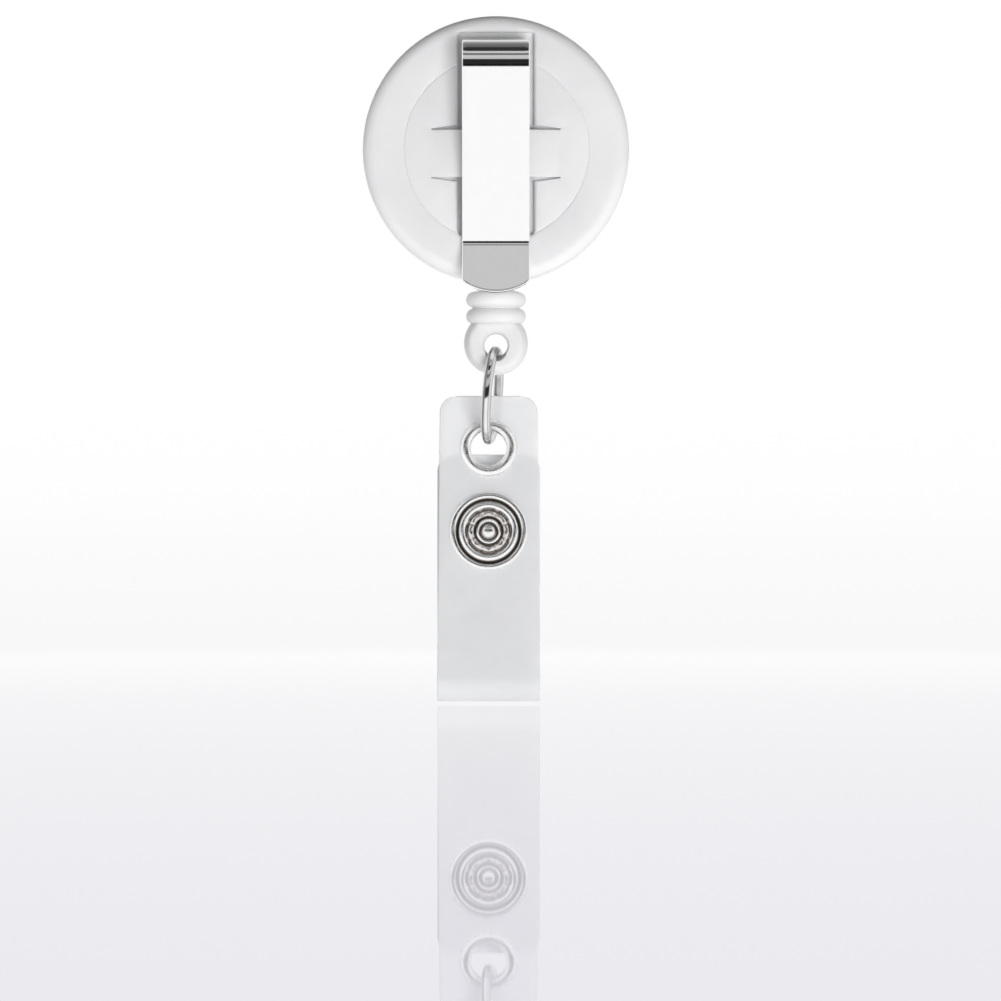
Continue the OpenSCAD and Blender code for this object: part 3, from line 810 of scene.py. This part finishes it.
def ring():
    """A ring of round wire that hangs from the cross hole, with its butt joint at the side."""
    flat = leaned(-math.sin(RING_TURN), math.cos(RING_TURN), 0)
    axis = leaned(math.cos(RING_TURN), math.sin(RING_TURN), 0)
    up = leaned(0, 0, 1)
    centre = np.array([0, CORD_Y, RING_TOP_Z]) - RING_R * up
    angles = np.radians(np.linspace(RING_GAP, 360 - RING_GAP, 144))
    angles = np.concatenate([[angles[0]], angles, [angles[-1]]])
    out = [flat * math.cos(a) + up * math.sin(a) for a in angles]
    scales = [WIRE_END] + [1.0] * (len(angles) - 2) + [WIRE_END]
    centres = [centre + RING_R * o for o in out]
    return sweep("jump_ring_wire", centres, out, [axis] * len(out), circle(WIRE_R, 28), scales)


def ring_material():
    """Plated wire, with darker lines along it that stand in for what it would reflect."""
    material = metal("ring_chrome", (0.80, 0.80, 0.81), (0.90, 0.90, 0.90), 0.10, (1, 1, 1), 0.002)
    nodes, links = material.node_tree.nodes, material.node_tree.links
    coordinates = nodes.new("ShaderNodeTexCoord")
    across = nodes.new("ShaderNodeVectorMath")
    across.operation = "DOT_PRODUCT"
    axis = leaned(math.cos(RING_TURN), math.sin(RING_TURN), 0)
    across.inputs[1].default_value = tuple(axis / MM)
    top = float(np.dot(axis, (0, CORD_Y, RING_TOP_Z)))
    place = nodes.new("ShaderNodeMapRange")
    place.inputs["From Min"].default_value = top - WIRE_R
    place.inputs["From Max"].default_value = top + WIRE_R
    links.new(coordinates.outputs["Object"], across.inputs[0])
    links.new(across.outputs["Value"], place.inputs["Value"])
    shade_base(material, place.outputs["Result"], WIRE_PAINTED_REFLECTION)
    return material


settle(ring(), "ring", ring_material(), ["jump_ring"])

# ---------------------------------------------------------------- strap
strap_lo, strap_hi = box_mm("strap_front")
eyelet_lo, eyelet_hi = box_mm("eyelet")
cap_lo, cap_hi = box_mm("snap_cap")
VINYL_T = 0.5
FOLD_R = 2.9
STRAP_X = (cap_lo.x + cap_hi.x) / 2
STRAP_Y = CORD_Y
FOLD_Y = STRAP_Y - VINYL_T / 2 + FOLD_R
FOLD_Z = strap_lo.z + FOLD_R
TAIL_Y = STRAP_Y + 2 * FOLD_R - VINYL_T
TOP_W = 11.75
STRAP_W = 12.4
EYELET_Z = (eyelet_lo.z + eyelet_hi.z) / 2
SNAP_Z = (cap_lo.z + cap_hi.z) / 2
TAIL_TOP = -36.65
CLOSED_Y = 7.0
# Where the tail leaves its own depth for the closed snap's, and over what height.
SWAY_Z = -59.5
SWAY_L = 8.0
VINYL_EDGE = 0.12
VINYL_CORNERS = (2.0, 2.0)
EYELET_HOLE_R = 2.43
SOCKET_HOLE_R = 1.78
STUD_HOLE_R = 1.63


def hole_tool(r, y, z, steps, ahead=1.0):
    """A round hole through one layer of the vinyl."""
    return lathe("cut", [(0, -ahead), (r, -ahead), (r, 1), (0, 1)], (STRAP_X, y, z), steps)


def vinyl_strip():
    """One length of vinyl, down the front, round the fold and up behind to the snap."""
    fold = arc((FOLD_Y, FOLD_Z), FOLD_R - VINYL_T / 2, 180, 360, 32)
    sway = [
        (TAIL_Y + (CLOSED_Y - TAIL_Y) * (3 * t * t - 2 * t ** 3), SWAY_Z + SWAY_L * t)
        for t in np.linspace(0, 1, 30)]
    path = bend_path([(STRAP_Y, strap_hi.z), (STRAP_Y, FOLD_Z)], fold, sway, [(CLOSED_Y, TAIL_TOP)], step=0.3)
    total = float(np.linalg.norm(np.diff(path, axis=0), axis=1).sum())
    widening = (strap_hi.z - FOLD_Z) / total

    def half_w(s):
        return (TOP_W + (STRAP_W - TOP_W) * min(1.0, s / widening)) / 2

    body = strip("vinyl_strap", path, half_w, VINYL_T / 2, VINYL_EDGE, VINYL_CORNERS, across=14, x0=STRAP_X)
    combine(body, hole_tool(EYELET_HOLE_R, STRAP_Y, EYELET_Z, 64))
    combine(body, hole_tool(SOCKET_HOLE_R, STRAP_Y, SNAP_Z, 48))
    return combine(body, hole_tool(STUD_HOLE_R, CLOSED_Y, SNAP_Z, 48, ahead=0.6))


settle(vinyl_strip(), None, vinyl, ["strap_front", "strap_tail"],
       blend=("strap", "strap_tail", (0, 4.6 * MM, 0), (0, 6.6 * MM, 0)))

# ---------------------------------------------------------------- eyelet
FACE_Y = STRAP_Y - VINYL_T / 2
BEHIND_Y = STRAP_Y + VINYL_T / 2
EYELET_R = 2.1
EYELET_WALL = 0.3
FLANGE_R = 3.45
ROLL_R = 0.45


def eyelet():
    """A tubular eyelet: a domed flange in front, a barrel, and a rolled edge behind."""
    mid, half = (EYELET_R + FLANGE_R) / 2, (FLANGE_R - EYELET_R) / 2
    back = -(eyelet_hi.y - FACE_Y - 0.47)
    outer = EYELET_R + EYELET_WALL
    outline = [(FLANGE_R, 0.02)] + arc((mid, 0), half, 0, 180, 20)
    outline += [(EYELET_R, -0.5), (EYELET_R, back + 0.1)]
    outline += arc((EYELET_R + ROLL_R, back), ROLL_R, 180, 360, 14)
    outline += [(outer, back), (outer, -0.01)]
    return lathe("eyelet_barrel", outline, (STRAP_X, FACE_Y, EYELET_Z), steps=96, facing=-1)


def washer():
    """The washer behind the vinyl, under the rolled edge."""
    inner, thick = EYELET_HOLE_R, 0.25
    outline = fillet([(inner, 0), (FLANGE_R, 0), (FLANGE_R, thick), (inner, thick)], 0.08)
    return lathe("eyelet_back_washer", outline, (STRAP_X, BEHIND_Y, EYELET_Z), steps=96)


settle(eyelet(), "strap", eyelet_metal, ["eyelet"])
settle(washer(), "strap", eyelet_metal, ["eyelet_washer"])

# ---------------------------------------------------------------- snap
PETALS = 8
# The radii between which the cap's middle is split.
PETAL_R = (1.55, 2.7)
PETAL_SWAY = 0.07
PETAL_GAP = 0.20
CAP_PROFILE = [
    (0.0, 0.42), (0.3, 0.40), (0.55, 0.32), (0.78, 0.14), (0.92, 0.04), (1.02, 0.03), (1.10, 0.10),
    (1.20, 0.34), (1.34, 0.44), (1.48, 0.40), (1.60, 0.22), (1.70, 0.20), (1.85, 0.34), (2.05, 0.44),
    (2.25, 0.42), (2.42, 0.30), (2.52, 0.16), (2.62, 0.12), (2.74, 0.14), (2.86, 0.28), (3.02, 0.38),
    (3.20, 0.40), (3.38, 0.36), (3.54, 0.24), (3.64, 0.13), (3.74, 0.10), (3.84, 0.11), (3.92, 0.16),
    (3.97, 0.27), (4.06, 0.36), (4.20, 0.395), (4.35, 0.40), (4.50, 0.37), (4.62, 0.29), (4.70, 0.17),
    (4.745, 0.02),
]
CAP_BACK = [
    (4.70, 0.0), (1.75, 0.0), (1.75, -0.86), (1.6, -1.08), (1.4, -1.12), (1.25, -1.0), (1.25, -0.1),
    (0.0, -0.05),
]


def snap_cap():
    """The cap's pressed rings, with the barrel split into petals and rolled out in the middle."""
    first, last = PETAL_R
    steps = 192
    verts = []
    for i in range(steps):
        a = 2 * math.pi * i / steps
        wave = math.cos(PETALS * a)
        gap = max(0.0, -wave) ** 6
        for r, d in CAP_PROFILE + CAP_BACK:
            here, deep = r, d
            if first < r < last and d > 0:
                share = math.sin(math.pi * (r - first) / (last - first))
                here += PETAL_SWAY * wave * share
                deep -= PETAL_GAP * gap * share
            verts.append((STRAP_X + here * math.cos(a), FACE_Y - deep, SNAP_Z + here * math.sin(a)))
    faces = tube_faces(steps, len(CAP_PROFILE) + len(CAP_BACK), closed_rows=True)
    return make("snap_cap_rings", verts, faces)


def snap_socket():
    """The socket behind the front layer, which the stud snaps into."""
    outline = fillet([
        (1.79, 0), (4.3, 0, 0.12), (4.3, 0.55, 0.5), (3.75, 1.3, 0.5), (3.5, 1.74, 0.3), (2.05, 1.74, 0.2),
        (2.05, 1.2, 0.2), (2.2, 0.3, 0.1), (1.79, 0.3)], 0.06)
    return lathe("snap_socket_cup", outline, (STRAP_X, BEHIND_Y, SNAP_Z), steps=96)


stud_hi = box_mm("snap_stud")[1]
rivet_lo, rivet_hi = box_mm("snap_stud_rivet")
TAIL_FACE_Y = CLOSED_Y + VINYL_T / 2


def snap_stud():
    """The stud on the tail: a broad base and a ball that fits the socket."""
    outline = fillet([
        (1.15, 0), (3.75, 0, 0.1), (3.75, 0.38, 0.16), (2.0, 0.4, 0.2), (1.55, 0.7, 0.2), (1.8, 1.1, 0.3),
        (1.7, 1.45, 0.3), (1.15, 1.45, 0.15)], 0.08)
    return lathe("snap_stud_ball", outline, (STRAP_X, stud_hi.y, SNAP_Z), steps=96, facing=-1)


def snap_rivet():
    """The rivet through the stud, with its domed ring on the tail's outer face."""
    depth = rivet_hi.y - TAIL_FACE_Y
    shank = TAIL_FACE_Y - rivet_lo.y
    outline = [(0, -shank)] + fillet([(0, -shank, 0), (1.12, -shank, 0.1), (1.12, 0.02, 0)], 0.1)[1:]
    outline += [(3.48, 0.02)] + arc((2.9, 0), depth - 0.01, 0, 90, 8) + arc((2.0, 0.28), 0.3, 90, 180, 5)
    outline += [(1.55, 0.25), (0, 0.28)]
    return lathe("snap_rivet_cap", outline, (STRAP_X, TAIL_FACE_Y, SNAP_Z), steps=96)


settle(snap_cap(), "strap", cap_material(STRAP_X, SNAP_Z), ["snap_cap"])
settle(snap_socket(), "strap", snap_metal, ["snap_socket"])
settle(snap_stud(), "strap_tail", snap_metal, ["snap_stud"])
settle(snap_rivet(), "strap_tail", snap_metal, ["snap_stud_rivet"])

# ---------------------------------------------------------------- inner parts that stay CAD nodes
KEPT = {
    "mainspring": spring_metal,
    "cord_run": cord,
    "cord_winding": cord,
    "cord_knot": cord,
    "spool": spool_plastic,
    "spring_cover": spring_metal,
}
for node, material in KEPT.items():
    obj = frame["nodes"][node]
    obj.data.materials.clear()
    obj.data.materials.append(material)

# ---------------------------------------------------------------- floor
FLOOR_Z = strap_lo.z - 0.3
FLOOR_MIDDLE = -250.0
FLOOR_HALF_W = 320.0
FLOOR_HALF_D = 608.0
# The floor's painted light: its glow by depth, darker and lavender near the camera and whiter far off,
# standing in for how the studio light falls across it.
FLOOR_PAINTED_GLOW = [(0.0, (0.764, 0.75, 0.815)), (0.565, (0.885, 0.885, 0.905)), (1.0, (1.03, 1.03, 1.03))]
FLOOR_TONE_Y = (-465.0, 358.0)
FLOOR_GLOSS = 0.36
FLOOR_ROUGHNESS = 0.012
FLOOR_CARD_Y = (-330.0, -270.0)
FLOOR_RIM = (0.78, 0.99)


def floor():
    """A pale oval floor that fades out at its rim, and isn't there when it is seen from below."""
    around, rings = 96, 12
    verts = [(0, FLOOR_MIDDLE * MM, FLOOR_Z * MM)]
    for k in range(1, rings + 1):
        for i in range(around):
            a = 2 * math.pi * i / around
            x = FLOOR_HALF_W * k / rings * math.cos(a)
            y = FLOOR_MIDDLE + FLOOR_HALF_D * k / rings * math.sin(a)
            verts.append((x * MM, y * MM, FLOOR_Z * MM))
    faces = [(0, 1 + i, 1 + (i + 1) % around) for i in range(around)]
    for k in range(rings - 1):
        a, b = 1 + k * around, 1 + (k + 1) * around
        faces += [(a + i, b + i, b + (i + 1) % around, a + (i + 1) % around) for i in range(around)]
    mesh = bpy.data.meshes.new("floor")
    mesh.from_pydata(verts, [], faces)
    obj = bpy.data.objects.new("floor", mesh)
    obj.visible_shadow = False
    bpy.context.scene.collection.objects.link(obj)
    material = bpy.data.materials.new("floor")
    material.use_nodes = True
    nodes, links = material.node_tree.nodes, material.node_tree.links
    nodes.clear()

    def node(kind, **values):
        made = nodes.new("ShaderNode" + kind)
        for socket, value in values.items():
            made.inputs[socket.replace("_", " ")].default_value = value
        return made

    def mix(fac, a, b):
        made = nodes.new("ShaderNodeMixShader")
        if isinstance(fac, float):
            made.inputs["Fac"].default_value = fac
        else:
            links.new(fac, made.inputs["Fac"])
        links.new(a, made.inputs[1])
        links.new(b, made.inputs[2])
        return made.outputs[0]

    coordinates = node("TexCoord")
    split = node("SeparateXYZ")
    links.new(coordinates.outputs["Object"], split.inputs["Vector"])
    depth = node("MapRange", From_Min=FLOOR_TONE_Y[0] * MM, From_Max=FLOOR_TONE_Y[1] * MM)
    links.new(split.outputs["Y"], depth.inputs["Value"])
    tone = node("ValToRGB")
    fill_ramp(tone, FLOOR_PAINTED_GLOW)
    links.new(depth.outputs["Result"], tone.inputs["Fac"])
    # The floor glows with its painted light, graded by depth.
    pale = node("Emission", Strength=1.0)
    links.new(tone.outputs["Color"], pale.inputs["Color"])
    gloss = node("BsdfGlossy", Color=(1, 1, 1, 1), Roughness=FLOOR_ROUGHNESS)
    polished = mix(FLOOR_GLOSS, pale.outputs[0], gloss.outputs[0])
    # Shiny parts see the floor as a white card, which turns black towards the camera.
    card_reach = node("MapRange", From_Min=FLOOR_CARD_Y[0] * MM, From_Max=FLOOR_CARD_Y[1] * MM)
    links.new(split.outputs["Y"], card_reach.inputs["Value"])
    card = node("Emission", Color=(1, 1, 1, 1))
    links.new(card_reach.outputs["Result"], card.inputs["Strength"])
    path = node("LightPath")
    seen = mix(path.outputs["Is Glossy Ray"], polished, card.outputs[0])
    distance = node("VectorMath")
    distance.operation = "LENGTH"
    oval = node("Mapping")
    oval.inputs["Location"].default_value = (0, -FLOOR_MIDDLE / FLOOR_HALF_D, 0)
    oval.inputs["Scale"].default_value = (1 / (FLOOR_HALF_W * MM), 1 / (FLOOR_HALF_D * MM), 0)
    links.new(coordinates.outputs["Object"], oval.inputs["Vector"])
    links.new(oval.outputs["Vector"], distance.inputs[0])
    rim = node("MapRange", From_Min=FLOOR_RIM[0], From_Max=FLOOR_RIM[1])
    rim.interpolation_type = "SMOOTHSTEP"
    links.new(distance.outputs["Value"], rim.inputs["Value"])
    clear = node("BsdfTransparent")
    faded = mix(rim.outputs["Result"], seen, clear.outputs[0])
    # Matt parts see it as an even grey.
    dim = node("Emission", Color=(0.62, 0.62, 0.63, 1))
    faded = mix(path.outputs["Is Diffuse Ray"], faded, dim.outputs[0])
    faced = mix(node("NewGeometry").outputs["Backfacing"], faded, clear.outputs[0])
    links.new(faced, node("OutputMaterial").inputs["Surface"])
    mesh.materials.append(material)


floor()


# ---------------------------------------------------------------- light
# The studio's tones by the angle above the horizon in degrees.
FRONT_BANDS = [
    (-16, 1.0), (-13, 0.02), (18, 0.02), (20, 0.56), (37, 0.58), (40, 0.15), (47.5, 0.13), (49, 0.58),
    (58, 0.60), (60, 0.03), (80, 0.03), (88, 0.13),
]
REAR_TONES = [(-20, 0.95), (40, 0.95), (64, 0.28), (88, 0.15)]
SOFT_TONES = [(-60, 0.8), (0, 0.69), (15, 0.18), (48, 0.01)]
BACKDROP_TONES = [(-1.4, 0.93), (-0.45, 0.96), (0.0, 0.985), (0.7, 1.0)]
FRONT_FROM = -0.45
FRONT_FULL = -0.85


def world():
    """A pale studio, seen in three ways.

    The camera sees a near-white backdrop. Shiny parts see bands of light and dark in front of them. Matt
    parts see a soft light from low down.
    """
    scene_world = bpy.data.worlds.new("studio")
    bpy.context.scene.world = scene_world
    scene_world.use_nodes = True
    nodes, links = scene_world.node_tree.nodes, scene_world.node_tree.links
    nodes.clear()
    out = nodes.new("ShaderNodeOutputWorld")
    background = nodes.new("ShaderNodeBackground")
    coordinates = nodes.new("ShaderNodeTexCoord")
    split = nodes.new("ShaderNodeSeparateXYZ")
    links.new(coordinates.outputs["Generated"], split.inputs["Vector"])

    def height_ramp(stops):
        shift = nodes.new("ShaderNodeMapRange")
        shift.inputs["From Min"].default_value = -1
        shift.inputs["From Max"].default_value = 1
        links.new(split.outputs["Z"], shift.inputs["Value"])
        tones = nodes.new("ShaderNodeValToRGB")
        fill_ramp(tones, [((math.sin(math.radians(angle)) + 1) / 2, tone) for angle, tone in stops])
        links.new(shift.outputs["Result"], tones.inputs["Fac"])
        return tones.outputs["Color"]

    def mix(fac, a, b):
        both = nodes.new("ShaderNodeMixRGB")
        links.new(fac, both.inputs["Fac"])
        links.new(a, both.inputs["Color1"])
        links.new(b, both.inputs["Color2"])
        return both.outputs["Color"]

    level = nodes.new("ShaderNodeVectorMath")
    level.operation = "MULTIPLY"
    level.inputs[1].default_value = (1, 1, 0)
    links.new(coordinates.outputs["Generated"], level.inputs[0])
    heading = nodes.new("ShaderNodeVectorMath")
    heading.operation = "NORMALIZE"
    links.new(level.outputs["Vector"], heading.inputs[0])
    ahead = nodes.new("ShaderNodeSeparateXYZ")
    links.new(heading.outputs["Vector"], ahead.inputs["Vector"])
    facing = nodes.new("ShaderNodeMapRange")
    facing.interpolation_type = "SMOOTHSTEP"
    facing.inputs["From Min"].default_value = FRONT_FROM
    facing.inputs["From Max"].default_value = FRONT_FULL
    links.new(ahead.outputs["Y"], facing.inputs["Value"])
    path = nodes.new("ShaderNodeLightPath")
    shiny = mix(facing.outputs["Result"], height_ramp(REAR_TONES), height_ramp(FRONT_BANDS))
    seen = mix(path.outputs["Is Glossy Ray"], height_ramp(SOFT_TONES), shiny)
    seen = mix(path.outputs["Is Camera Ray"], seen, height_ramp(BACKDROP_TONES))
    links.new(seen, background.inputs["Color"])
    links.new(background.outputs[0], out.inputs["Surface"])


def softbox(name, place, aim, width, height, watts):
    """A rectangular studio light that shiny parts don't mirror."""
    data = bpy.data.lights.new(name, "AREA")
    data.shape = "RECTANGLE"
    data.size, data.size_y = width * MM, height * MM
    data.energy = watts
    obj = bpy.data.objects.new(name, data)
    obj.location = Vector(place) * MM
    obj.rotation_euler = (Vector(aim) - Vector(place)).to_track_quat("-Z", "Y").to_euler()
    obj.visible_glossy = False
    bpy.context.scene.collection.objects.link(obj)


world()
softbox("front_light", place=(190, -620, -175), aim=(0, 0, -20), width=300, height=200, watts=2.42)
softbox("back_light", place=(-160, 640, 60), aim=(0, 0, -25), width=420, height=300, watts=1.5)
